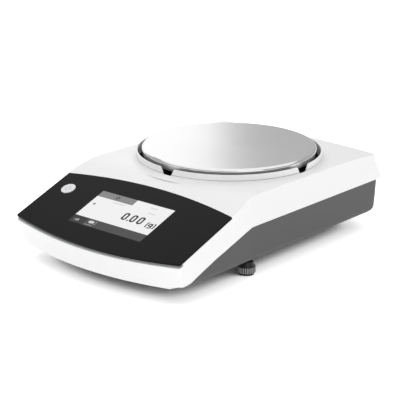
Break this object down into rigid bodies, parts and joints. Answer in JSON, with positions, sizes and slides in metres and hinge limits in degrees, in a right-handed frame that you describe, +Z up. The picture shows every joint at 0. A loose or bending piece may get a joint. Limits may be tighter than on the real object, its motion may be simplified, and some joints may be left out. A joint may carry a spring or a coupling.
{
  "type": "precision balance",
  "caption": "Precision balance with a round steel pan, a tilted touch panel, levelling feet and a lever weigh cell.",
  "frame": {"origin": "on the table, under the middle of the housing's outline", "axes": "+X to the right of someone who reads the display, +Y to the back, +Z up"},
  "size_m": [0.216, 0.35, 0.095],
  "materials": {
    "white_cover": "fine satin moulded ABS",
    "grey_tray": "fine-textured moulded plastic",
    "black_glass": "glass printed black on its back",
    "trim_grey": "satin",
    "display": "backlit panel",
    "dark_plastic": "matt",
    "circuit_board": "solder mask",
    "steel_screw": "turned",
    "button_grey": "satin",
    "pan_steel": "fine polished stainless steel",
    "cast_alloy": "die cast",
    "milled_alloy": "milled",
    "soft_rubber": "matt",
    "coil_wire": "enamelled winding",
    "yoke_steel": "nickel plated",
    "port_shell": "tinned shell",
    "cable_flat": "satin film",
    "level_fluid": "clear vial with tinted fluid"
  },
  "bodies": {
    "housing": {"base_housing": "grey_tray", "top_cover": "white_cover", "display_glass": "black_glass", "display_trim": "trim_grey", "display_module": "display", "display_frame": "dark_plastic", "display_board": "circuit_board", "frame_screws": "steel_screw", "button_switch": "dark_plastic", "well_tray": "dark_plastic", "cell_frame": "milled_alloy", "magnet_pot": "yoke_steel", "position_sensor": "dark_plastic", "cell_screws": "steel_screw", "main_board": "circuit_board", "board_screws": "steel_screw", "dc_jack": "dark_plastic", "usb_port": "port_shell", "serial_port": "port_shell", "display_cable": "cable_flat", "rear_feet": "soft_rubber", "level_ring": "dark_plastic", "level_vial": "level_fluid", "hook_screw": "steel_screw", "cover_screws": "steel_screw"},
    "load_receiver": {"load_receiver": "milled_alloy", "load_cone": "steel_screw", "coupling_link": "steel_screw"},
    "upper_guide": {"upper_guide": "milled_alloy"},
    "lower_guide": {"lower_guide": "milled_alloy"},
    "weigh_lever": {"weigh_lever": "milled_alloy", "coil": "coil_wire"},
    "pan_support": {"pan_support": "cast_alloy", "support_pads": "soft_rubber"},
    "weighing_pan": {"weighing_pan": "pan_steel"},
    "power_button": {"power_button": "button_grey"},
    "foot_pad_left": {"foot_pad_left": "soft_rubber"},
    "foot_pad_right": {"foot_pad_right": "soft_rubber"},
    "foot_wheel_left": {"foot_wheel_left": "dark_plastic"},
    "foot_wheel_right": {"foot_wheel_right": "dark_plastic"},
    "hook_cover": {"hook_cover": "grey_tray"}
  },
  "joints": [
    {"name": "receiver_travel", "type": "slide", "parent": "housing", "child": "load_receiver", "axis": [0, 0, 1], "range_m": [-0.0002, 0.0001], "stiffness_N_per_m": 60000, "springref_m": 0.0001},
    {"name": "upper_guide_flex", "type": "hinge", "parent": "housing", "child": "upper_guide", "pos_m": [0, 0.09112, 0.059], "axis": [1, 0, 0], "range_deg": [-0.1204, 0.2397]},
    {"name": "lower_guide_flex", "type": "hinge", "parent": "housing", "child": "lower_guide", "pos_m": [0, 0.09112, 0.028], "axis": [1, 0, 0], "range_deg": [-0.1204, 0.2397]},
    {"name": "lever_tilt", "type": "hinge", "parent": "housing", "child": "weigh_lever", "pos_m": [0, 0.05912, 0.043], "axis": [1, 0, 0], "range_deg": [-0.47, 0.93]},
    {"name": "support_lift", "type": "slide", "parent": "load_receiver", "child": "pan_support", "axis": [0, 0, 1], "range_m": [0, 0.03]},
    {"name": "pan_lift", "type": "slide", "parent": "pan_support", "child": "weighing_pan", "axis": [0, 0, 1], "range_m": [0, 0.03]},
    {"name": "power_press", "type": "slide", "parent": "housing", "child": "power_button", "axis": [0, 0.342, -0.9397], "range_m": [0, 0.0008], "stiffness_N_per_m": 900, "springref_m": -0.0003},
    {"name": "hook_cover_swing", "type": "hinge", "parent": "housing", "child": "hook_cover", "pos_m": [0.021, 0.03512, 0.0154], "axis": [0, 0, 1], "range_deg": [0, 110]},
    {"name": "foot_height_left", "type": "slide", "parent": "housing", "child": "foot_pad_left", "axis": [0, 0, 1], "range_m": [-0.003, 0.003]},
    {"name": "foot_turn_left", "type": "hinge", "parent": "foot_pad_left", "child": "foot_wheel_left", "pos_m": [-0.092, -0.048, 0.01], "axis": [0, 0, 1], "range_deg": [-1081, 1081]},
    {"name": "foot_height_right", "type": "slide", "parent": "housing", "child": "foot_pad_right", "axis": [0, 0, 1], "range_m": [-0.003, 0.003]},
    {"name": "foot_turn_right", "type": "hinge", "parent": "foot_pad_right", "child": "foot_wheel_right", "pos_m": [0.092, -0.048, 0.01], "axis": [0, 0, 1], "range_deg": [-1081, 1081]}
  ],
  "couplings": [
    {"joint": "upper_guide_flex", "follows": "receiver_travel", "rad_per_m": -20.833},
    {"joint": "lower_guide_flex", "follows": "receiver_travel", "rad_per_m": -20.833},
    {"joint": "lever_tilt", "follows": "receiver_travel", "rad_per_m": -80.645},
    {"joint": "foot_turn_left", "follows": "foot_height_left", "rad_per_m": 6283.2},
    {"joint": "foot_turn_right", "follows": "foot_height_right", "rad_per_m": 6283.2}
  ]
}
